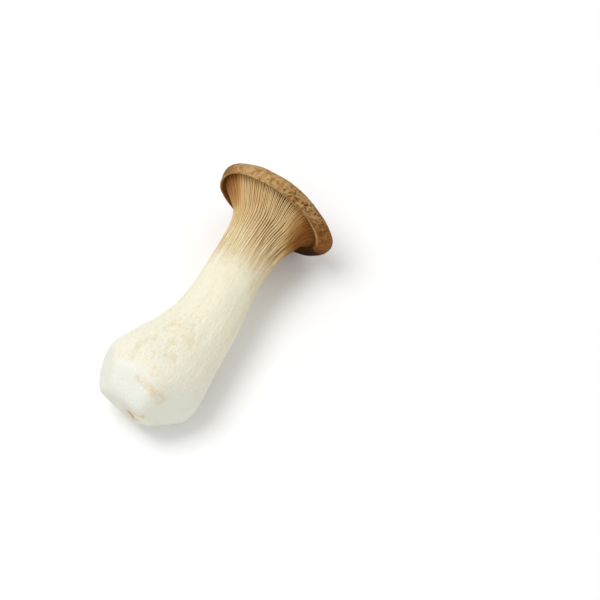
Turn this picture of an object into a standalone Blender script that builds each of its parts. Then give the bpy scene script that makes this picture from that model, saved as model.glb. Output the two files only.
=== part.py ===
"""A king oyster mushroom, picked and trimmed, lying on its side.

It grew as one piece, so it is one solid. A thick stem swells towards its base, narrows to a neck
and flares into the underside of a small thick cap, whose margin rolls in. Knife cuts trim the base:
a straight end cut, slanting facets round it, and one flat facet that the mushroom rests on.

Metres, +Z up. +X runs from the base to the cap, and the origin is at the bottom centre of the
mushroom's box. Run with: blender --background --python part.py
"""

import math

import bmesh
import bpy
from mathutils import Vector

MM = 0.001

# The axis of the mushroom, as (station, sideways, height) in millimetres. Stations run from the end
# cut towards the crown of the cap. The base leans to +Y, and the stem is straight beyond its middle.
AXIS = (
    (-6.0, 9.2, 19.2),
    (8.0, 6.9, 20.3),
    (22.0, 4.2, 21.0),
    (34.0, 1.7, 21.6),
    (45.0, 0.2, 22.3),
    (56.0, -0.1, 23.2),
    (66.0, 0.2, 24.3),
    (86.0, 0.0, 26.6),
    (104.0, -0.8, 27.3),
    (119.0, -2.2, 27.4),
)

# The stem's radius at stations along the axis, from the blunt base over the swelling to the neck.
STEM = (
    (-6.0, 18.5),
    (4.0, 20.8),
    (16.0, 22.0),
    (28.0, 18.8),
    (42.0, 14.9),
    (50.0, 13.7),
    (56.0, 13.0),
    (70.0, 11.9),
    (82.0, 12.3),
)

# The gills as one surface through their edges: from the neck out to the rolled margin.
GILLS = (
    (91.5, 14.3),
    (96.5, 17.0),
    (100.8, 21.6),
)
GILLS_OFF_CENTRE = 2.1  # towards +Y, so the margin is thicker on the other side

RIM_STATION = 104.5  # where the cap is widest
CAP_RADIUS = 27.5
DOME_HEIGHT = 8.9  # from the widest place to the crown
DOME_FULLNESS = 1.6
MARGIN_DEPTH = 3.7  # how far the margin hangs below the widest place
MARGIN_THICKNESS = 4.2
GROOVE_DEPTH = 1.6  # between the ends of the gills and the rolled margin

# Knife cuts at the base. Each plane faces the given way, that far from the middle of the swelling.
SWELLING = Vector((17.0, 5.9, 20.2))
KNIFE_CUTS = (
    ("end", (-1.0, 0.10, 0.0), 17.0),
    ("upper", (-0.72, 0.10, 0.69), 19.1),
    ("near", (-0.66, -0.70, 0.26), 17.8),
    ("far", (-0.43, 0.83, 0.35), 19.5),
    ("low_near", (-0.74, -0.47, -0.48), 18.4),
    ("low_far", (-0.60, 0.50, -0.62), 18.8),
)

SIDES = 56
STEM_RINGS = 27
DOME_RINGS = 9
MARGIN_RINGS = 8


def smooth(points, station):
    """The values at a station, on a smooth curve through points whose first number is theirs."""
    last = len(points) - 2
    i = min(max(sum(p[0] <= station for p in points) - 1, 0), last)
    here, there = points[i], points[i + 1]
    before, after = points[max(i - 1, 0)], points[min(i + 2, last + 1)]
    span = there[0] - here[0]
    t = (station - here[0]) / span
    values = []
    for k in range(1, len(here)):
        slope_here = (there[k] - before[k]) / (there[0] - before[0]) * span
        slope_there = (after[k] - here[k]) / (after[0] - here[0]) * span
        values.append(
            (2 * t**3 - 3 * t**2 + 1) * here[k]
            + (t**3 - 2 * t**2 + t) * slope_here
            + (3 * t**2 - 2 * t**3) * there[k]
            + (t**3 - t**2) * slope_there
        )
    return values


def axis_point(station):
    sideways, height = smooth(AXIS, station)
    return Vector((station, sideways, height))


def stem_and_gills():
    """The outline from the base to the edge of the gills, as (station, radius, sideways)."""
    outline = []
    first, last = STEM[0][0], GILLS[-1][0]
    for i in range(STEM_RINGS):
        station = first + (last - first) * i / (STEM_RINGS - 1)
        along = max(0.0, (station - STEM[-1][0]) / (last - STEM[-1][0]))
        radius = smooth(STEM + GILLS, station)[0]
        outline.append((station, radius, GILLS_OFF_CENTRE * along * along))
    return outline


def margin():
    """The groove beyond the gills, then round the rolled edge to the widest place."""
    edge = RIM_STATION - MARGIN_DEPTH
    groove = edge + GROOVE_DEPTH
    outline = [(groove, CAP_RADIUS - MARGIN_THICKNESS - 0.4, GILLS_OFF_CENTRE)]
    for i in range(MARGIN_RINGS):
        turn = math.pi * (i + 0.5) / MARGIN_RINGS
        inner = turn < math.pi / 2
        foot, depth = (groove, GROOVE_DEPTH) if inner else (RIM_STATION, MARGIN_DEPTH)
        across = (1 + math.cos(turn)) / 2
        radius = CAP_RADIUS - MARGIN_THICKNESS * across
        outline.append((foot - depth * math.sin(turn), radius, GILLS_OFF_CENTRE * across))
    return outline


def dome():
    """The top of the cap, from the widest place to the last ring before the crown."""
    outline = []
    for i in range(DOME_RINGS):
        height = math.sin(math.pi / 2 * i / DOME_RINGS)
        radius = CAP_RADIUS * math.sqrt(1 - height**DOME_FULLNESS)
        outline.append((RIM_STATION + DOME_HEIGHT * height, radius, 0.0))
    return outline


def ring(mesh, station, radius, sideways):
    """A ring of vertices square to the axis, its middle moved sideways."""
    ahead = (axis_point(station + 1) - axis_point(station - 1)).normalized()
    across = Vector((0, 0, 1)).cross(ahead).normalized()
    up = ahead.cross(across)
    middle = axis_point(station) + across * sideways
    vertices = []
    for i in range(SIDES):
        turn = 2 * math.pi * (i + 0.5) / SIDES
        outward = across * math.cos(turn) + up * math.sin(turn)
        vertices.append(mesh.verts.new(middle + outward * radius))
    return vertices


def close_end(mesh, edge_ring, middle):
    """A fan of triangles from a ring to one vertex."""
    centre = mesh.verts.new(middle)
    for i in range(SIDES):
        mesh.faces.new((edge_ring[i], edge_ring[(i + 1) % SIDES], centre))


def grow(mesh):
    """The untrimmed mushroom."""
    outline = stem_and_gills() + margin() + dome()
    rings = [ring(mesh, *place) for place in outline]
    for lower, upper in zip(rings, rings[1:]):
        for i in range(SIDES):
            j = (i + 1) % SIDES
            mesh.faces.new((lower[i], lower[j], upper[j], upper[i]))
    close_end(mesh, rings[0], axis_point(outline[0][0]))
    close_end(mesh, rings[-1], axis_point(RIM_STATION + DOME_HEIGHT))


def cut(mesh, point, facing):
    """Cuts off what lies beyond a plane, and closes the cut with a flat face."""
    everything = mesh.verts[:] + mesh.edges[:] + mesh.faces[:]
    made = bmesh.ops.bisect_plane(
        mesh, geom=everything, plane_co=point, plane_no=facing, dist=1e-4, clear_outer=True
    )
    edges = [e for e in made["geom_cut"] if isinstance(e, bmesh.types.BMEdge)]
    open_edges = [e for e in edges if e.is_boundary]
    bmesh.ops.holes_fill(mesh, edges=open_edges)


def trim(mesh):
    """The knife cuts, and the flat where the base and the rim of the cap rest."""
    for _name, facing, distance in KNIFE_CUTS:
        facing = Vector(facing).normalized()
        cut(mesh, SWELLING + facing * distance, facing)
    cut(mesh, Vector((0, 0, 0)), Vector((0, 0, -1)))


def centre_on_origin(mesh):
    for k in (0, 1):
        places = [v.co[k] for v in mesh.verts]
        middle = (min(places) + max(places)) / 2
        for v in mesh.verts:
            v.co[k] -= middle


def flesh_material():
    material = bpy.data.materials.new("mushroom")
    material.use_nodes = True
    surface = material.node_tree.nodes["Principled BSDF"]
    surface.inputs["Base Color"].default_value = (0.82, 0.76, 0.62, 1)
    surface.inputs["Roughness"].default_value = 0.6
    surface.inputs["Metallic"].default_value = 0.0
    return material


def mushroom():
    mesh = bmesh.new()
    grow(mesh)
    bmesh.ops.recalc_face_normals(mesh, faces=mesh.faces)
    trim(mesh)
    centre_on_origin(mesh)
    bmesh.ops.scale(mesh, vec=(MM, MM, MM), verts=mesh.verts)
    data = bpy.data.meshes.new("king_oyster_mushroom")
    mesh.to_mesh(data)
    mesh.free()
    data.shade_smooth()
    data.set_sharp_from_angle(angle=math.radians(35))
    data.materials.append(flesh_material())
    obj = bpy.data.objects.new("king_oyster_mushroom", data)
    bpy.context.scene.collection.objects.link(obj)
    return obj


for old in list(bpy.data.objects):
    bpy.data.objects.remove(old)
mushroom()
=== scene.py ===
"""A king oyster mushroom, picked, trimmed and laid on its side: its looks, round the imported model.

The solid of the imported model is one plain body. Here it gets its real surface: fibrous ivory flesh,
knife-cut base, gills one by one, rolled brown margin and felted cap.
"""

import math
import random

import bpy
import numpy as np
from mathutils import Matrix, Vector, noise


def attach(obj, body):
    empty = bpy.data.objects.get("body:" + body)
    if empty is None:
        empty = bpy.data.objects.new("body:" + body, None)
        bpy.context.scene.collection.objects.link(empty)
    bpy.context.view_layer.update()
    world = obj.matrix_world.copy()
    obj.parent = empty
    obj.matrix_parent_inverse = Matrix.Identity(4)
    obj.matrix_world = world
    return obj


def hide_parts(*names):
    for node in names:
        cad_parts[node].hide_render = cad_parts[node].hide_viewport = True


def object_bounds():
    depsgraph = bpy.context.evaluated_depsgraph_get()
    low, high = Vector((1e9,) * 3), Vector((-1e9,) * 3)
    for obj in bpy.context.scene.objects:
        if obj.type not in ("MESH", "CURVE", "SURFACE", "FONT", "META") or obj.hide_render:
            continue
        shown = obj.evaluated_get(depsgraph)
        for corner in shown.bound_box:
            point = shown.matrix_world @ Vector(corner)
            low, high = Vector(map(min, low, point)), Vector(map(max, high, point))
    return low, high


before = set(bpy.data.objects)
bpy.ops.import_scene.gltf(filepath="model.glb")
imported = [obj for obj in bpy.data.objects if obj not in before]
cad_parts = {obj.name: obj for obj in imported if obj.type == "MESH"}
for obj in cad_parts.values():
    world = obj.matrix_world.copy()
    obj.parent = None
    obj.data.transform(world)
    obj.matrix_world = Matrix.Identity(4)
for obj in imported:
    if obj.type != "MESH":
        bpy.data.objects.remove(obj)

cad_low, cad_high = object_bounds()

# ---------------------------------------------------------------------------------------------
# The flesh: stem, flare and cap in one grown body.
# Dense ivory flesh, drawn out ring by ring from the blunt base to the crown of the cap, then
# leaned over, pressed flat by the knife cuts at the base, and roughened as it grew.

MM = 0.001
SEED = 11
TURN = 2 * math.pi

# A station is how far along the mushroom a place is, in millimetres. The cut base ends a little
# before station 0, and the middle of the mushroom is a little to one side.
BASE_END = -0.985
ASIDE = 0.16
STATION_ZERO = Vector((cad_low.x / MM - BASE_END, ASIDE, 0.0))

# Where the middle of the mushroom runs: station, sideways, height.
AXIS = (
    (-6.0, 9.2, 19.2),
    (8.0, 6.9, 20.3),
    (22.0, 4.2, 21.0),
    (34.0, 1.7, 21.6),
    (45.0, 0.2, 22.3),
    (56.0, -0.1, 23.2),
    (66.0, 0.2, 24.3),
    (86.0, 0.0, 26.6),
    (104.0, -0.8, 27.3),
    (119.0, -2.2, 27.4),
)
# The blunt base, as station and radius, like the two outlines that follow.
BASE = ((-6.0, 2.5), (-6.2, 8.0), (-6.2, 13.5))
# The stem's radius, and below the gills the radius of the flesh that they stand on.
STEM = (
    (-6.0, 18.5),
    (4.0, 20.8),
    (16.0, 22.0),
    (28.0, 18.8),
    (42.0, 14.9),
    (50.0, 13.7),
    (56.0, 13.0),
    (70.0, 11.9),
    (82.0, 12.1),
    (91.5, 13.3),
    (96.5, 15.4),
    (100.5, 18.6),
)
# From the groove outside the gills, round the rolled margin and over the cap.
CAP = (
    (102.9, 21.6),
    (103.3, 22.3),
    (102.7, 22.8),
    (101.5, 23.1),
    (100.7, 23.8),
    (100.8, 24.9),
    (101.9, 26.4),
    (104.5, 27.5),
    (106.5, 26.5),
    (108.6, 23.4),
    (110.4, 18.8),
    (112.0, 13.2),
    (113.0, 7.6),
    (113.4, 2.6),
)
CAP_RADIUS = 27.5
STEM_RINGS = 5.8  # from one ring of the stem to the next, up to the flare
FLARE_RINGS = (86.5, 91.5, 95.5, 98.5, 101.3)
SIDES = 32
SMOOTHING = 3  # times that each face is divided in four
# The opening under the cap is off its middle: forward at the top, sideways and up. It starts
# where the flesh flares out.
OPENING_SHIFT = (2.0, 2.1, 0.8)
FLARING = (94, 102)


def through(points, x):
    """A smooth curve through points, read at stations x."""
    points = np.array(points, float)
    knots, values = points[:, 0], points[:, 1:]
    slope = np.gradient(values, knots, axis=0)
    x = np.asarray(x, float)
    i = np.clip(np.searchsorted(knots, x, side="right") - 1, 0, len(knots) - 2)
    span = (knots[i + 1] - knots[i])[..., None]
    t = (x - knots[i])[..., None] / span
    return (
        (2 * t**3 - 3 * t**2 + 1) * values[i]
        + (t**3 - 2 * t**2 + t) * span * slope[i]
        + (3 * t**2 - 2 * t**3) * values[i + 1]
        + (t**3 - t**2) * span * slope[i + 1]
    )


def rise(x, low, high):
    """0 below low, 1 above high, smooth between."""
    t = np.clip((x - low) / (high - low), 0, 1)
    return t * t * (3 - 2 * t)


def grain(points, scale, seed, octaves=1):
    """Smooth noise from -1 to 1 at each point; scale is cycles to a millimetre on each axis."""
    q = points * np.array(scale) + seed * 7.31
    total, size = np.zeros(len(q)), 1.0
    for k in range(octaves):
        total += size * np.array([noise.noise(Vector(p)) for p in q * 2**k])
        size *= 0.5
    return total


def lay_down(points, opening):
    """From the straight mushroom round the X axis to the leaning one that lies down.

    Opening is how much each point belongs to the opening under the cap.
    """
    upper = rise(points[:, 2] / np.linalg.norm(points[:, 1:], axis=1), -0.3, 1.0)
    shift = np.outer(opening, OPENING_SHIFT)
    shift[:, 0] *= upper
    points = points + shift
    x = points[:, 0]
    middle = through(AXIS, x)
    ahead = through(AXIS, x + 1) - through(AXIS, x - 1)
    ahead = np.column_stack([np.full(len(x), 2.0), ahead])
    ahead /= np.linalg.norm(ahead, axis=1)[:, None]
    across = np.cross((0, 0, 1.0), ahead)
    across /= np.linalg.norm(across, axis=1)[:, None]
    up = np.cross(ahead, across)
    laid = across * points[:, 1][:, None] + up * points[:, 2][:, None]
    laid += np.column_stack([x, middle])
    return laid


# The knife cuts round the base. A cut presses the surface flat. Each has the way it faces, how far
# it is from the middle of the swelling, how sharp an edge it leaves, and how white it is.
SWELLING = np.array((17.0, 5.9, 20.2))
KNIFE_CUTS = (
    ((-0.66, -0.70, 0.26), 18.0, 8, 0.3),
    ((-0.60, 0.50, -0.62), 18.8, 30, 0.3),
    ((-1.0, 0.10, 0.0), 16.9, 22, 0.4),
    ((-0.72, 0.10, 0.69), 18.9, 14, 0.9),
    ((-0.43, 0.83, 0.35), 19.4, 34, 0.0),
    ((-0.74, -0.47, -0.48), 18.2, 60, 0.2),
)
CLEAN_CUT = 28  # from this sharpness on, a cut shows as a wholly bare face
CUTS_END = 42  # the station that no cut goes past
BOW = 0.15  # how far a cut face is from flat
BLADE_MARKS = 0.03


def knife(points):
    """The points pressed back to the cuts, how much each lies on a cut, and its whiteness."""
    cut, white = np.zeros(len(points)), np.zeros(len(points))
    bow = BOW * grain(points, (0.12, 0.12, 0.12), SEED + 1)
    near_base = points[:, 0] < CUTS_END
    for k, (facing, distance, sharpness, whiteness) in enumerate(KNIFE_CUTS):
        facing = np.array(facing) / np.linalg.norm(facing)
        out = points - SWELLING
        marks = BLADE_MARKS * grain(points, (0.1, 0.5, 0.5), SEED + 2 + k)
        reach = np.maximum(out @ facing, 0) / (distance + bow + marks) * near_base
        press = (1 + reach**sharpness) ** (1 / sharpness)
        points = SWELLING + out / press[:, None]
        reached = rise(reach, 0.96, 1.03)
        cut = np.maximum(cut, reached * min(1, sharpness / CLEAN_CUT))
        white += rise(reach, 0.88, 1.04) * (whiteness - white)
    return points, cut, white


# Marks of handling. Each runs from one place to another, with its reach and its strength.
# Bruises turned brown where the knife caught.
BRUISES = (
    ((8.8, 6.2, 39.2), (8.2, 1.8, 39.2), 1.3, 0.55),
    ((8.2, 1.8, 39.2), (7.8, -1.2, 38.4), 1.7, 0.65),
    ((7.8, -1.2, 38.4), (8.4, -5.7, 33.8), 2.0, 0.5),
    ((0.0, 6.3, 22.8), (0.0, -0.9, 25.5), 1.5, 0.7),
    ((0.0, 5.8, 21.5), (0.0, 3.6, 18.0), 2.2, 1.0),
    ((0.0, 3.6, 18.0), (0.0, 5.4, 13.5), 1.5, 0.5),
)
# One side of the stem is painted tan, more and more towards the gills: partly tan fibres, partly
# painted shade on that side.
TAN_AND_SHADE_SIDE = (
    ((50.0, -13.0, 22.0), (58.0, -12.5, 23.5), 3.5, 0.3),
    ((60.0, -12.5, 23.5), (66.0, -12.0, 24.5), 4.0, 0.6),
    ((68.0, -12.0, 25.0), (88.0, -11.0, 30.0), 4.5, 1.0),
)
# The outer fibres are rubbed up, and the hollows between them are painted a darker yellow.
RUBBED = (
    ((35.5, 4.3, 38.0), (32.0, -3.8, 37.6), 2.6, 1.0),
    ((27.0, 8.0, 39.8), (21.5, 12.5, 40.7), 2.0, 0.5),
    ((26.0, 4.0, 40.0), (24.5, -2.5, 39.6), 2.6, 0.5),
    ((14.3, 5.7, 42.7), (14.5, 2.4, 42.4), 2.2, 0.6),
    ((12.0, 16.5, 39.0), (9.0, 17.5, 36.5), 2.4, 0.45),
)
# One wide patch above the cuts is worn and dotted.
WORN = (((36.0, 3.0, 38.0), (11.0, 11.0, 42.0), 10.0, 0.75),)
# Fine creases where the flesh was pinched.
CREASES = (
    ((13.5, 11.6, 42.0), (17.5, 12.7, 41.5), 0.9, 1.0),
    ((17.5, 12.7, 41.5), (21.0, 12.3, 40.8), 0.9, 1.0),
    ((21.0, 12.3, 40.8), (24.8, 11.6, 39.8), 0.9, 0.9),
    ((24.8, 11.6, 39.8), (27.2, 9.6, 39.5), 0.9, 0.8),
    ((37.5, 7.0, 37.0), (33.5, 8.5, 37.8), 0.8, 0.9),
    ((30.5, 1.5, 39.0), (24.0, 2.0, 40.5), 0.8, 0.7),
    ((22.5, 0.5, 40.8), (23.5, -3.0, 39.5), 0.9, 0.8),
    ((40.0, -1.0, 36.5), (31.0, -5.5, 37.0), 0.8, 0.6),
)
RAGGED_EDGE = 0.7


def near(points, marks):
    """How much each point lies in one of the marks, from 0 to 1."""
    total = np.zeros(len(points))
    ragged = 1 + RAGGED_EDGE * grain(points, (0.3, 0.3, 0.3), SEED + 14, 3)
    for start, end, reach, strength in marks:
        start, end = np.array(start), np.array(end)
        line = end - start
        along = np.clip((points - start) @ line / (line @ line), 0, 1)
        away = ragged * np.linalg.norm(points - start - along[:, None] * line, axis=1)
        total = np.maximum(total, strength * np.exp(-((away / reach) ** 2)))
    return total


# The rings that the surface has to pass through, from the base to the crown. Smoothing draws it
# inside them, both along the mushroom and round it, so the cage is set out until it meets them.
stations = np.concatenate([np.arange(-5.0, 82, STEM_RINGS), FLARE_RINGS])
stem_rings = [(x, *through(STEM, x)) for x in stations]
rings = np.array(list(BASE) + stem_rings + list(CAP), float)
cage = rings.copy()
for _ in range(4):
    padded_cage = np.vstack([cage[:1], cage, cage[-1:]])
    surface = (padded_cage[:-2] + 4 * padded_cage[1:-1] + padded_cage[2:]) / 6
    cage += rings - surface
cage[:, 1] /= 2 / 3 + math.cos(TURN / SIDES) / 3

# The disc at the blunt base is drawn out and widened, ring by ring, to the crown of the cap.
bpy.ops.object.select_all(action="DESELECT")
bpy.ops.mesh.primitive_circle_add(
    vertices=SIDES,
    radius=cage[0, 1],
    fill_type="TRIFAN",
    location=(cage[0, 0], 0, 0),
    rotation=(0, math.pi / 2, 0),
)
body = bpy.context.object
body.name = "stem_and_cap"
bpy.ops.object.transform_apply(location=True, rotation=True, scale=True)
bpy.ops.object.mode_set(mode="EDIT")
bpy.ops.mesh.select_all(action="SELECT")
for (x, r), (x_next, r_next) in zip(cage, cage[1:]):
    bpy.ops.mesh.extrude_region_move(TRANSFORM_OT_translate={"value": (x_next - x, 0, 0)})
    bpy.ops.transform.resize(value=(1, r_next / r, r_next / r))
bpy.ops.mesh.select_all(action="SELECT")
bpy.ops.mesh.normals_make_consistent(inside=False)
bpy.ops.object.mode_set(mode="OBJECT")
growth = body.modifiers.new("growth", "SUBSURF")
growth.levels = growth.render_levels = SMOOTHING
bpy.ops.object.modifier_apply(modifier="growth")


def read(parts, field):
    """One vector for each part of a mesh."""
    values = np.zeros(len(parts) * 3)
    parts.foreach_get(field, values)
    return values.reshape(-1, 3)


# Each point of the straight mushroom is known by its station, its radius and its way round,
# which has a part to the side and a part to the top.
mesh = body.data
straight = read(mesh.vertices, "co")
normal = read(mesh.vertex_normals, "vector")
station = straight[:, 0]
radius = np.hypot(straight[:, 1], straight[:, 2])
around = straight[:, 1:] / np.maximum(radius, 1e-6)[:, None]
to_side = around[:, 0]
to_top = around[:, 1]

# Where one part of the surface gives way to the next, by station or by radius.
NECK = (80, 90)
GILLED = (86, 97)
SKIN_STARTS = (22.6, 23.6)
SKIN_OUTSIDE = (104.3, 105.5)
CROWN_RADIUS = 17.0
SHOULDER_RADIUS = 25.0
on_skin = np.maximum(rise(radius, *SKIN_STARTS), rise(station, *SKIN_OUTSIDE))
on_stem = 1 - rise(station, *NECK)
under_gills = rise(station, *GILLED) * (1 - on_skin)
crown = on_skin * rise(-radius, -SHOULDER_RADIUS, -CROWN_RADIUS)

# Distance run from the base along the surface, so that fibres follow it over the cap as well.
# They lie on a rod as thick as the stem, and come together at the middle of the base.
FIBRE_ROD = 13.0
RUN_TO_MARGIN = 110
run = np.where(on_skin > 0.5, RUN_TO_MARGIN + (CAP_RADIUS - radius), station)
rod = np.where(station < 20, np.minimum(radius, FIBRE_ROD), FIBRE_ROD)
fibre_place = np.column_stack([run, around * rod[:, None]])

lumps = grain(straight, (0.06, 0.09, 0.09), SEED)
fibres = grain(fibre_place, (0.035, 0.55, 0.55), SEED + 3, 2)
pebbles = grain(straight, (0.55, 0.55, 0.55), SEED + 4, 2)
wrinkles = grain(fibre_place, (0.16, 0.35, 0.35), SEED + 5, 2)
folds = grain(fibre_place, (0.09, 0.30, 0.30), SEED + 13, 2)
felt = grain(fibre_place, (0.2, 0.5, 0.5), SEED + 7, 3)
# The skin has cracked into pits on one side of the margin, and has shallow ones elsewhere.
CRACKED_SIDE = np.array((-0.62, 0.78))
cracked = rise(around @ CRACKED_SIDE, 0.78, 0.96) * rise(radius, 21, 25)
pits = rise(grain(straight, (1.5, 1.1, 1.1), SEED + 6), 0.16, 0.4) * np.maximum(cracked, 0.12)
# The scarred middle of the cap, off its centre and ragged at its edge.
SCAR_PLACE = (-3.0, 4.0)
SCAR_RADIUS = 8.0
from_scar = np.linalg.norm(straight[:, 1:] - SCAR_PLACE, axis=1)
scarred = crown * np.exp(-((from_scar / (SCAR_RADIUS + 2.5 * wrinkles)) ** 2))
# The margin's edge, with a painted highlight along its upper half, and what turns in behind it
# towards the gills, which gets painted shade.
LIP_RADIUS = 24.2
lip_highlight = np.exp(-(((radius - LIP_RADIUS) / 0.5) ** 2)) * (station < 101.7) * (station > 99)
lip_highlight *= rise(to_top, -0.3, 0.4)
rolled_in_shade = on_skin * (1 - rise(radius, 23.3, LIP_RADIUS)) * (station < 105)

# How far the surface is lifted, in millimetres: lumps all over, fibres and folds on the stem,
# wrinkles, pebbles and pits on the margin, and felt on the crown.
lift = 0.32 * lumps * (1 - 0.5 * under_gills)
lift += on_stem * 0.07 * fibres
creased = rise(station, 8, 20) * (1 - rise(station, 44, 66))
lift += creased * (0.28 * (0.5 - np.abs(folds)) + 0.10 * folds)
lift += on_skin * (1 - crown) * (0.10 * wrinkles + 0.06 * pebbles) - 0.6 * pits * on_skin
lift += crown * 0.05 * pebbles + scarred * 0.16 * felt
shaped = straight + normal * lift[:, None]

MARGIN_WAVE = 0.018


def waved(x, around):
    """The margin isn't a true circle: how much wider or narrower it is at each turn."""
    wave = grain(np.column_stack([0 * x, around]), (1, 1.3, 1.3), SEED + 8)
    return 1 + MARGIN_WAVE * wave * rise(x, 93, 101)


# It is waved, laid down, rubbed and creased, then cut, and pressed flat where it lies.
shaped[:, 1:] *= waved(station, around)[:, None]
opening = rise(station, *FLARING) * (1 - rise(radius, 24.0, 27.0))
opening *= 1 - rise(station, 103.7, 105.3)
laid = lay_down(shaped, opening)
rubbed = near(laid, RUBBED)
pinched = near(laid, CREASES)
torn = grain(laid, (0.9, 0.3, 0.3), SEED + 12, 2)
laid += normal * (0.4 * rubbed * torn - 0.8 * pinched)[:, None]
worn_patch = near(laid, WORN)
laid, cut_face, whiteness = knife(laid)
bruised = near(laid, BRUISES)
tan_and_shade = near(laid, TAN_AND_SHADE_SIDE)
laid[:, 2] = np.maximum(laid[:, 2], 0.0)
place = np.array(STATION_ZERO)
mesh.vertices.foreach_set("co", ((laid + place) * MM).ravel())


def keep(mesh, name, values):
    """Stores a value, or a vector, on each vertex, for the finish to read."""
    kind = "FLOAT" if values.ndim == 1 else "FLOAT_VECTOR"
    attribute = mesh.attributes.new(name, kind, "POINT")
    field = "value" if values.ndim == 1 else "vector"
    attribute.data.foreach_set(field, np.ascontiguousarray(values, np.float32).ravel())


# The colour goes by place. Shade is painted in: darker in the gaps between the gills and in the
# groove outside them, on the shaded sides of the margin and in the hollow under it. The tan starts
# raggedly.
lower_side = rise(-to_side, -0.1, 0.5)
gaps = (0.15 + 0.45 * lower_side) * rise(station, 79, 89)
groove = (1 - 0.4 * rise(to_top, 0.3, 0.9)) * rise(station, 88, 101)
shaded = np.maximum(rise(-to_top, -0.15, 0.35), rise(to_side, 0.6, 0.9)) * on_skin
# Painted shade in the hollow under the margin, on its lower side.
HOLLOW_SHADE_SIDE = np.array((-0.34, -0.94))
hollow_shade = rise(around @ HOLLOW_SHADE_SIDE + 0.06 * wrinkles, 0.56, 0.76)
hollow_shade *= 1 - rise(station, 101.0, 104.0)
hollow_shade *= rise(radius, 21.5, 22.5)
ragged = 5.0 * grain(fibre_place, (0.0, 0.16, 0.16), SEED + 9, 2)
finish_marks = {
    "skin": on_skin,
    "crown": crown,
    "scar": scarred,
    "lip_highlight": lip_highlight,
    "rolled_in_shade": rolled_in_shade,
    "cut": cut_face * (station < 40),
    "white": whiteness,
    "pit": pits * on_skin,
    "fibre": fibre_place,
    "tan": rise(station + ragged, 64, 93),
    "side_tan_and_shade": tan_and_shade,
    "foot": 1 - rise(station, 22, 52),
    # Painted shade between the gills and in the groove outside them.
    "brown": np.maximum(gaps, groove),
    "weathered": cracked,
    # Painted highlight along the top of the margin.
    "crest_highlight": rise(to_top, 0.15, 0.95) * (1 - rise(station, 106, 110)),
    "shade": shaded * (1 - crown),
    # Painted shade on one side of the margin.
    "side_shade": rise(-to_side, 0.62, 0.97) * (1 - crown),
    # Painted shade in the hollow under the margin.
    "under": hollow_shade,
    "bruise": bruised,
    "rub": 0.7 * rubbed * rise(-torn, -0.1, 0.5),
    "worn": worn_patch,
    "crease_shade": pinched,
}
for name, values in finish_marks.items():
    keep(mesh, name, values)
mesh.update()
bpy.ops.object.shade_smooth()


class Finish:
    """A material, and the ways in which it is painted."""

    def __init__(self, name):
        self.material = bpy.data.materials.new(name)
        self.material.use_nodes = True
        self.tree = self.material.node_tree
        self.shader = self.tree.nodes["Principled BSDF"]

    def add(self, kind, feeds=None, **settings):
        """A new node, with its settings, and with a link or a value for what feeds it."""
        made = self.tree.nodes.new(kind)
        for key, value in settings.items():
            setattr(made, key, value)
        for key, value in (feeds or {}).items():
            self.feed(made.inputs[key], value)
        return made

    def feed(self, socket, value):
        """A link into a socket, or a plain value for it."""
        if isinstance(value, bpy.types.NodeSocket):
            self.tree.links.new(value, socket)
        else:
            socket.default_value = value

    def mark(self, name, kind="Fac"):
        """What is stored on the vertices under this name."""
        return self.add("ShaderNodeAttribute", attribute_name=name).outputs[kind]

    def speckle(self, vector, scale, detail=4.0, stretch=(1, 1, 1), roughness=0.55):
        """Noise from 0 to 1 on a stretched grain."""
        laid_out = self.add("ShaderNodeMapping", {"Vector": vector, "Scale": stretch})
        feeds = {
            "Vector": laid_out.outputs[0],
            "Scale": scale,
            "Detail": detail,
            "Roughness": roughness,
        }
        return self.add("ShaderNodeTexNoise", feeds).outputs["Fac"]

    def window(self, value, low, high):
        """0 where value is under low and 1 where it is over high."""
        feeds = {"Value": value, "From Min": low, "From Max": high}
        made = self.add("ShaderNodeMapRange", feeds, interpolation_type="SMOOTHSTEP")
        return made.outputs[0]

    def spread(self, value, low, high):
        """From low to high, as value goes from 0 to 1."""
        feeds = {"Value": value, "To Min": low, "To Max": high}
        return self.add("ShaderNodeMapRange", feeds).outputs[0]

    def maths(self, kind, first, second):
        return self.add("ShaderNodeMath", {0: first, 1: second}, operation=kind).outputs[0]

    def times(self, first, second):
        return self.maths("MULTIPLY", first, second)

    def plus(self, first, second):
        return self.maths("ADD", first, second)

    def coat(self, under, over, amount, kind="MIX"):
        """One colour over another, by the amount from 0 to 1."""
        made = self.add("ShaderNodeMix", data_type="RGBA", blend_type=kind)
        for name, value in (("Factor", amount), ("A", under), ("B", over)):
            self.feed([s for s in made.inputs if s.name == name and s.enabled][0], value)
        return [s for s in made.outputs if s.enabled][0]


IVORY = (0.835, 0.80, 0.63, 1)
WARM_IVORY = (0.80, 0.735, 0.53, 1)
HOLLOW_YELLOW = (0.78, 0.64, 0.35, 1)
WORN_IVORY = (0.76, 0.66, 0.44, 1)
BRUISE = (0.70, 0.50, 0.22, 1)
BRUISE_DARK = (0.40, 0.22, 0.06, 1)
BASE_WHITE = (0.80, 0.785, 0.665, 1)
DOTS_AND_SHADE_IVORY = (0.74, 0.68, 0.50, 1)
CUT_WHITE = (0.845, 0.85, 0.765, 1)
CUT_GREY = (0.75, 0.76, 0.68, 1)
TAN = (0.50, 0.33, 0.13, 1)
PALE_TAN = (0.74, 0.61, 0.37, 1)
GAP_SHADE_BROWN = (0.20, 0.075, 0.010, 1)
CAP_BROWN = (0.30, 0.135, 0.030, 1)
CAP_LIGHT = (0.45, 0.26, 0.09, 1)
CAP_CREST_HIGHLIGHT = (0.56, 0.385, 0.19, 1)
CAP_DARK = (0.10, 0.038, 0.009, 1)
CAP_SHADED = (0.15, 0.06, 0.012, 1)
CAVITY_SHADE = (0.20, 0.065, 0.007, 1)
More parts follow.
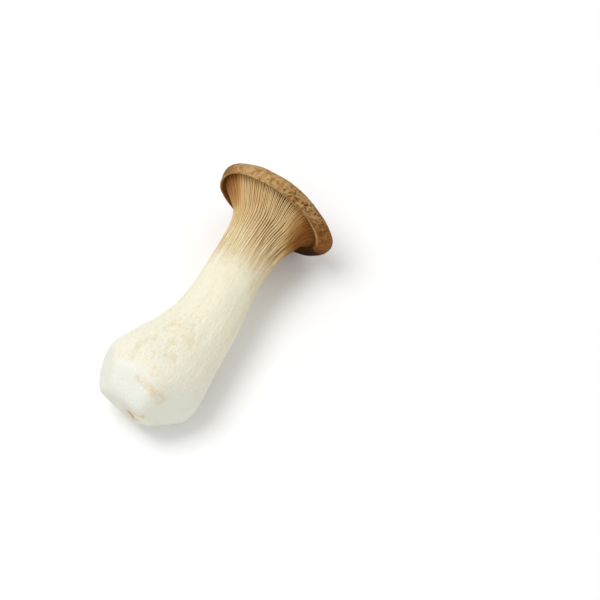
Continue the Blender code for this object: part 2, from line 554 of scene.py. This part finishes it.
HOLLOW_SHADE_BROWN = (0.032, 0.009, 0.003, 1)
SIDE_SHADE_TINT = (0.76, 0.60, 0.48, 1)
LIP_PALE = (0.55, 0.37, 0.17, 1)
TAUPE = (0.29, 0.175, 0.08, 1)
TAUPE_LIGHT = (0.38, 0.245, 0.125, 1)
SCAR_BROWN = (0.15, 0.065, 0.02, 1)

flesh = Finish("flesh")
fibre = flesh.mark("fibre", "Vector")
where = flesh.add("ShaderNodeTexCoord").outputs["Object"]
strands = flesh.speckle(fibre, 0.8, 3.0, (0.05, 1, 1))
fine_strands = flesh.speckle(fibre, 2.5, 4.0, (0.03, 1, 1))
short_strands = flesh.speckle(fibre, 2.2, 4.0, (0.16, 1, 1))
rubbed_strands = flesh.speckle(fibre, 1.5, 4.0, (0.9, 0.4, 0.4))
clouds = flesh.speckle(where, 70.0, 3.0)
grainy = flesh.speckle(where, 900.0, 4.0)

# The stem: ivory with warmer strands and clouds, whiter at its foot, and finely dotted.
colour = flesh.coat(IVORY, WARM_IVORY, flesh.window(strands, 0.45, 0.8))
colour = flesh.coat(colour, WARM_IVORY, flesh.window(clouds, 0.5, 0.85))
colour = flesh.coat(colour, BASE_WHITE, flesh.times(flesh.mark("foot"), 0.8))
dimples = flesh.plus(flesh.window(grainy, 0.5, 0.75), flesh.window(short_strands, 0.52, 0.75))
colour = flesh.coat(colour, DOTS_AND_SHADE_IVORY, flesh.times(dimples, 0.35))

# Where it was handled: darker yellow in the hollows between rubbed fibres, the worn patch, painted
# shade in the creases, and the tan side, partly painted shade.
rub = flesh.times(flesh.mark("rub"), flesh.window(rubbed_strands, 0.25, 0.55))
colour = flesh.coat(colour, HOLLOW_YELLOW, rub)
worn = flesh.times(flesh.mark("worn"), flesh.window(grainy, 0.48, 0.68))
colour = flesh.coat(colour, WORN_IVORY, worn)
# Painted shade in the creases.
colour = flesh.coat(colour, DOTS_AND_SHADE_IVORY, flesh.times(flesh.mark("crease_shade"), 0.7))
# Tan on one side of the stem, partly painted shade.
side_tan_and_shade = flesh.times(flesh.mark("side_tan_and_shade"), flesh.window(fine_strands, 0.35, 0.55))
colour = flesh.coat(colour, PALE_TAN, side_tan_and_shade)

# Towards the gills it goes tan in streaks and grains; the deep brown between the gills and in the
# groove outside them is painted shade.
tan = flesh.mark("tan")
tan_streak = flesh.coat(PALE_TAN, TAN, flesh.window(fine_strands, 0.4, 0.6))
granules = flesh.plus(short_strands, grainy)
patchy = flesh.window(flesh.plus(tan, flesh.times(granules, 0.42)), 0.4, 1.1)
colour = flesh.coat(colour, tan_streak, flesh.times(patchy, flesh.window(tan, 0.0, 0.15)))
colour = flesh.coat(colour, GAP_SHADE_BROWN, flesh.mark("brown"))

# The knife cuts are bare and colder, and bruised where the knife caught.
colour = flesh.coat(colour, CUT_GREY, flesh.times(flesh.mark("cut"), 0.75))
colour = flesh.coat(colour, CUT_WHITE, flesh.times(flesh.mark("white"), 0.9))
blotch = flesh.window(flesh.speckle(where, 420.0, 5.0), 0.28, 0.58)
bruise = flesh.times(flesh.mark("bruise"), blotch)
colour = flesh.coat(colour, BRUISE, bruise)
core = flesh.window(bruise, 0.6, 1.0)
colour = flesh.coat(colour, BRUISE_DARK, flesh.times(core, 0.6))

# The skin of the margin: mottled brown, darker where it is pitted. A painted highlight makes it paler
# on its crest and along its lip; painted shade darkens its shaded sides, the hollow under it and
# where it rolls in.
mottle = flesh.speckle(where, 480.0, 5.0)
fleck = flesh.speckle(where, 1300.0, 4.0)
brown = flesh.coat(CAP_BROWN, CAP_LIGHT, flesh.window(mottle, 0.38, 0.6))
brown = flesh.coat(brown, CAP_DARK, flesh.window(fleck, 0.5, 0.7))
# A painted highlight makes the crest paler.
crest_highlight = flesh.times(flesh.mark("crest_highlight"), flesh.window(mottle, 0.25, 0.6))
brown = flesh.coat(brown, CAP_CREST_HIGHLIGHT, flesh.times(crest_highlight, 0.8))
brown = flesh.coat(brown, CAP_BROWN, flesh.times(flesh.mark("weathered"), 0.25))
brown = flesh.coat(brown, CAP_SHADED, flesh.times(flesh.mark("shade"), 0.7))
speckled = flesh.window(flesh.speckle(where, 700.0, 5.0), 0.42, 0.62)
brown = flesh.coat(brown, CAP_BROWN, flesh.times(speckled, 0.5))
frosted = flesh.window(flesh.speckle(where, 1000.0, 3.0), 0.55, 0.72)
brown = flesh.coat(brown, LIP_PALE, flesh.times(frosted, 0.4))
# Painted shade darkens one side of the margin.
brown = flesh.coat(brown, SIDE_SHADE_TINT, flesh.mark("side_shade"), "MULTIPLY")
brown = flesh.coat(brown, CAP_DARK, flesh.mark("pit"))
# A painted highlight along the upper half of the lip.
brown = flesh.coat(brown, LIP_PALE, flesh.mark("lip_highlight"))
# Painted shade where the margin rolls in.
brown = flesh.coat(brown, CAVITY_SHADE, flesh.mark("rolled_in_shade"))
# Painted shade fills the hollow under the margin.
brown = flesh.coat(brown, HOLLOW_SHADE_BROWN, flesh.mark("under"))

# The top of the cap: taupe felt with brown fibrils, and a darker scar in the middle.
suede = flesh.window(flesh.speckle(where, 110.0, 4.0), 0.35, 0.65)
nap = flesh.window(flesh.speckle(where, 1500.0, 3.0), 0.42, 0.68)
fibrils = flesh.speckle(fibre, 1.2, 4.0, (0.12, 1, 1))
top = flesh.coat(TAUPE, TAUPE_LIGHT, suede)
top = flesh.coat(top, TAUPE, flesh.times(nap, 0.4))
top = flesh.coat(top, CAP_BROWN, flesh.times(flesh.window(fibrils, 0.5, 0.75), 0.35))
scar = flesh.times(flesh.mark("scar"), flesh.window(fibrils, 0.33, 0.6))
top = flesh.coat(top, SCAR_BROWN, scar)
brown = flesh.coat(brown, top, flesh.mark("crown"))

skin = flesh.mark("skin")
colour = flesh.coat(colour, brown, skin)
flesh_relief = flesh.plus(short_strands, flesh.times(grainy, 0.7))
relief = flesh.coat(flesh_relief, flesh.plus(mottle, fleck), skin)
bump = flesh.add("ShaderNodeBump", {"Height": relief, "Distance": 0.0005, "Strength": 0.8})
matt = flesh.maths("MAXIMUM", skin, flesh.mark("brown"))
flesh.feed(flesh.shader.inputs["Base Color"], colour)
flesh.feed(flesh.shader.inputs["Normal"], bump.outputs[0])
flesh.feed(flesh.shader.inputs["Roughness"], flesh.spread(clouds, 0.5, 0.7))
flesh.feed(flesh.shader.inputs["Specular IOR Level"], flesh.spread(matt, 0.3, 0.02))
flesh.shader.inputs["Subsurface Weight"].default_value = 0.12
flesh.shader.inputs["Subsurface Radius"].default_value = (1.0, 0.7, 0.4)
flesh.shader.inputs["Subsurface Scale"].default_value = 0.0015
mesh.materials.append(flesh.material)
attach(body, "root")
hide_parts("king_oyster_mushroom")

# ---------------------------------------------------------------------------------------------
# The gills: thin ribs of the same flesh that run down the flare and fade out on the stem.
# Long ones reach the stem, with a shorter one between each two near the margin. One blank bar
# is drawn out, and each gill is a copy of it, bent to its own path and sunk into the flare.

GILL_STEPS = 20
LONG_GILLS = 84
GILL_KINDS = 2  # long and short
GILLS = LONG_GILLS * GILL_KINDS
PITCH = TURN / GILLS
STARTS = ((70, 88), (88, 96))  # the stations between which each kind starts
GILL_END = 102.6
HEIGHTS = (
    (70.0, 0.1),
    (82.0, 0.45),
    (91.5, 1.05),
    (97.0, 1.4),
    (100.0, 1.8),
    (101.5, 2.3),
    (GILL_END, 2.9),
)
KIND_HEIGHT = (1.0, 0.9)
KIND_WIDTH = (1.3, 1.2)
EDGE_HALF = 0.17  # half a gill's thickness at its edge and at its root
ROOT_HALF = 0.27
SUNK = 0.12  # how deep its ends start in the flesh
ROOT_DEPTH = 0.6

bpy.ops.object.select_all(action="DESELECT")
bpy.ops.mesh.primitive_circle_add(
    vertices=4, radius=1, fill_type="NGON", rotation=(0, math.pi / 2, 0)
)
blank = bpy.context.object
blank.name = "gill_blank"
bpy.ops.object.transform_apply(location=True, rotation=True, scale=True)
bpy.ops.object.mode_set(mode="EDIT")
bpy.ops.mesh.select_all(action="SELECT")
bpy.ops.transform.rotate(value=math.pi / 4, orient_axis="X", center_override=(0, 0, 0))
for _ in range(GILL_STEPS):
    bpy.ops.mesh.extrude_region_move(TRANSFORM_OT_translate={"value": (1, 0, 0)})
bpy.ops.mesh.select_all(action="SELECT")
bpy.ops.mesh.normals_make_consistent(inside=False)
bpy.ops.object.mode_set(mode="OBJECT")
blank_places = read(blank.data.vertices, "co")
step = blank_places[:, 0] / GILL_STEPS
side = np.sign(blank_places[:, 1])
is_edge = blank_places[:, 2] > 0

# The flesh that the gills stand on, carried on to where they end.
GROUND = STEM + ((104.5, 22.6),)


def sway(places, offset=(0, 0, 0)):
    """Smooth noise at each place, for paths that aren't straight."""
    return np.array([noise.noise(Vector(p) + Vector(offset)) for p in places])


chance = random.Random(SEED)
gills = []
for k in range(GILLS):
    kind = k % GILL_KINDS
    turn = TURN * (k / GILLS) + chance.uniform(-0.006, 0.006)
    start = [chance.uniform(*between) for between in STARTS][kind]
    joins = chance.choice((-1, 1)) * (kind > 0)
    x = start + (GILL_END - start) * step

    # Its height: low where it starts, lower on one side of the stem, and lower at the top of
    # the flare.
    height = through(HEIGHTS, x)[:, 0] * rise(step, 0.0, 0.35) * KIND_HEIGHT[kind] - SUNK
    height *= chance.uniform(0.88, 1.08)
    low_down = 1 - rise(x, 92, 98)
    height *= 1 - 0.6 * low_down * rise(math.cos(turn), -0.45, 0.45)
    height *= 1 - 0.25 * (1 - low_down) * rise(math.sin(turn - 0.5), 0.0, 0.8)

    # Its path: a short one leans on a neighbour where it starts, neighbours sway together, and
    # each wavers a little on its own.
    turns = turn + joins * 0.7 * PITCH * (1 - step) ** 3
    swaying = np.column_stack([x * 0.07, 2 * np.cos(turns), 2 * np.sin(turns)])
    turns = turns + 0.06 * sway(swaying, (3, 5, 7))
    turns = turns + 0.012 * sway(np.column_stack([x * 0.16, 0 * x + k * 1.7, 0 * x]))

    # Its two roots stand in the flesh, and its two edges stand out of it.
    ground = through(GROUND, x)[:, 0]
    r = np.where(is_edge, ground + height, ground - ROOT_DEPTH)
    r *= waved(x, np.column_stack([np.cos(turns), np.sin(turns)]))
    half = np.where(is_edge, EDGE_HALF, ROOT_HALF) * chance.uniform(0.85, 1.2)
    half = half * (0.6 + 0.4 * rise(step, 0, 0.3)) * KIND_WIDTH[kind]
    turns = turns + side * half / r
    places = np.column_stack([x, r * np.cos(turns), r * np.sin(turns)])

    gill = blank.copy()
    gill.data = blank.data.copy()
    gill.name = "gill"
    bpy.context.scene.collection.objects.link(gill)
    done = lay_down(places, rise(x, *FLARING)) + place
    gill.data.vertices.foreach_set("co", (done * MM).ravel())
    # Painted shade: the gills on the far sides of the flare are darkened.
    gill_side_shade = 0.5 * rise(np.cos(turns), 0.55, 0.95) * rise(x, 89, 101)
    gill_side_shade += 0.8 * rise(-np.cos(turns - 0.35), 0.3, 0.95) * rise(x, 80, 99)
    # Painted shade at the roots between the gills, less of it on one side.
    root = 1 - 0.5 * rise(np.cos(turns), -0.4, 0.4)
    rod = FIBRE_ROD * np.column_stack([np.cos(turns), np.sin(turns)])
    keep(gill.data, "depth", np.where(is_edge, 0.0, root))
    # Out grows towards the margin: their own browning, partly painted shade near the margin, with the
    # painted side shade added.
    keep(gill.data, "out", rise(x, 73, 98.5) + gill_side_shade + 0.28 * rise(x, 99.5, GILL_END))
    keep(gill.data, "tone", np.full(len(x), chance.random()))
    keep(gill.data, "fibre", np.column_stack([x, rod]))
    gills.append(gill)
bpy.data.objects.remove(blank)
bpy.ops.object.select_all(action="DESELECT")
for gill in gills:
    gill.select_set(True)
bpy.context.view_layer.objects.active = gills[0]
bpy.ops.object.join()
ribs = bpy.context.object
ribs.name = "gills"
bpy.ops.object.shade_smooth_by_angle(angle=math.radians(50))

RIB_PALE = (0.83, 0.73, 0.49, 1)
RIB_TAN = (0.66, 0.475, 0.235, 1)
RIB_BROWN = (0.50, 0.27, 0.085, 1)
RIB_DARK = (0.25, 0.09, 0.012, 1)
RIB_ROOT_SHADE = (0.44, 0.24, 0.07, 1)

# Pale where they leave the stem and browner towards the margin, partly their own colour and partly
# painted shade there; painted shade darkens them on the far sides of the flare and at their roots.
rib = Finish("gill")
out = rib.mark("out")
fibre = rib.mark("fibre", "Vector")
where = rib.add("ShaderNodeTexCoord").outputs["Object"]
patch = rib.speckle(fibre, 0.5, 3.0, (0.25, 1, 1))
browning_and_shade = rib.plus(out, rib.times(patch, 0.5))
colour = rib.coat(RIB_PALE, RIB_TAN, rib.window(browning_and_shade, 0.5, 1.15))
colour = rib.coat(colour, RIB_TAN, rib.times(rib.mark("tone"), 0.3))
powder = rib.window(rib.speckle(where, 1000.0), 0.45, 0.65)
colour = rib.coat(colour, RIB_TAN, rib.times(powder, 0.45))
colour = rib.coat(colour, RIB_BROWN, rib.window(browning_and_shade, 1.15, 1.55))
# Darkest where painted shade on the far sides and near the margin adds up.
colour = rib.coat(colour, RIB_DARK, rib.window(browning_and_shade, 1.4, 1.95))
colour = rib.coat(colour, IVORY, rib.window(out, 0.05, 0.0))
# Painted shade at the roots, between the gills.
root_shade = rib.times(rib.window(rib.mark("depth"), 0.1, 0.9), rib.window(out, 0.1, 0.6))
colour = rib.coat(colour, RIB_ROOT_SHADE, root_shade)
streaks = rib.speckle(fibre, 4.0, 3.0, (0.3, 1, 1))
bump = rib.add("ShaderNodeBump", {"Height": streaks, "Distance": 0.0002, "Strength": 0.4})
rib.feed(rib.shader.inputs["Base Color"], colour)
rib.feed(rib.shader.inputs["Normal"], bump.outputs[0])
rib.shader.inputs["Roughness"].default_value = 0.6
rib.shader.inputs["Subsurface Weight"].default_value = 0.15
rib.shader.inputs["Subsurface Radius"].default_value = (1.0, 0.7, 0.4)
rib.shader.inputs["Subsurface Scale"].default_value = 0.001
rib.shader.inputs["Specular IOR Level"].default_value = 0.1
ribs.data.materials.clear()
ribs.data.materials.append(rib.material)
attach(ribs, "root")

# ---------------------------------------------------------------------------------------------
# The studio: a plain pale floor, one large soft light from the upper left, and a pale room.

FLOOR_SIZE = 6
HEADING = math.radians(30.36)
ELEVATION = math.radians(66.39)
CAMERA_PLACE = Vector((-159.92, -166.69, 648.22))
LIGHT_DISTANCE = 0.9
LIGHT_SIZE = 0.5
LIGHT_POWER = 4.1
ROOM_GLOW = 0.72

bpy.ops.object.select_all(action="DESELECT")
bpy.ops.mesh.primitive_plane_add(size=FLOOR_SIZE, location=(0, 0, 0))
floor = bpy.context.object
floor.name = "floor"
paper = Finish("floor")
paper.shader.inputs["Base Color"].default_value = (0.94, 0.94, 0.94, 1)
paper.shader.inputs["Roughness"].default_value = 0.9
floor.data.materials.append(paper.material)

look = Vector(
    (
        math.cos(ELEVATION) * math.cos(HEADING),
        math.cos(ELEVATION) * math.sin(HEADING),
        -math.sin(ELEVATION),
    )
)
right = Vector((math.sin(HEADING), -math.cos(HEADING), 0))
upward = right.cross(look)
camera_data = bpy.data.cameras.new("camera")
camera_data.lens = 100
camera_data.sensor_width = 36
camera = bpy.data.objects.new("camera", camera_data)
camera.location = (STATION_ZERO + CAMERA_PLACE) * MM
camera.rotation_euler = look.to_track_quat("-Z", "Y").to_euler()
bpy.context.scene.collection.objects.link(camera)
bpy.context.scene.camera = camera

towards_light = upward * 0.48 - look * 0.82 - right * 0.28
light_data = bpy.data.lights.new("key", "AREA")
light_data.shape = "DISK"
light_data.size = LIGHT_SIZE
light_data.energy = LIGHT_POWER
light = bpy.data.objects.new("key", light_data)
light.location = (cad_low + cad_high) / 2 + towards_light.normalized() * LIGHT_DISTANCE
light.rotation_euler = (-towards_light).to_track_quat("-Z", "Y").to_euler()
bpy.context.scene.collection.objects.link(light)

room = bpy.data.worlds.new("room")
room.use_nodes = True
room.node_tree.nodes["Background"].inputs["Color"].default_value = (1, 1, 1, 1)
room.node_tree.nodes["Background"].inputs["Strength"].default_value = ROOM_GLOW
bpy.context.scene.world = room
bpy.context.scene.view_settings.view_transform = "Standard"

bpy.context.view_layer.update()
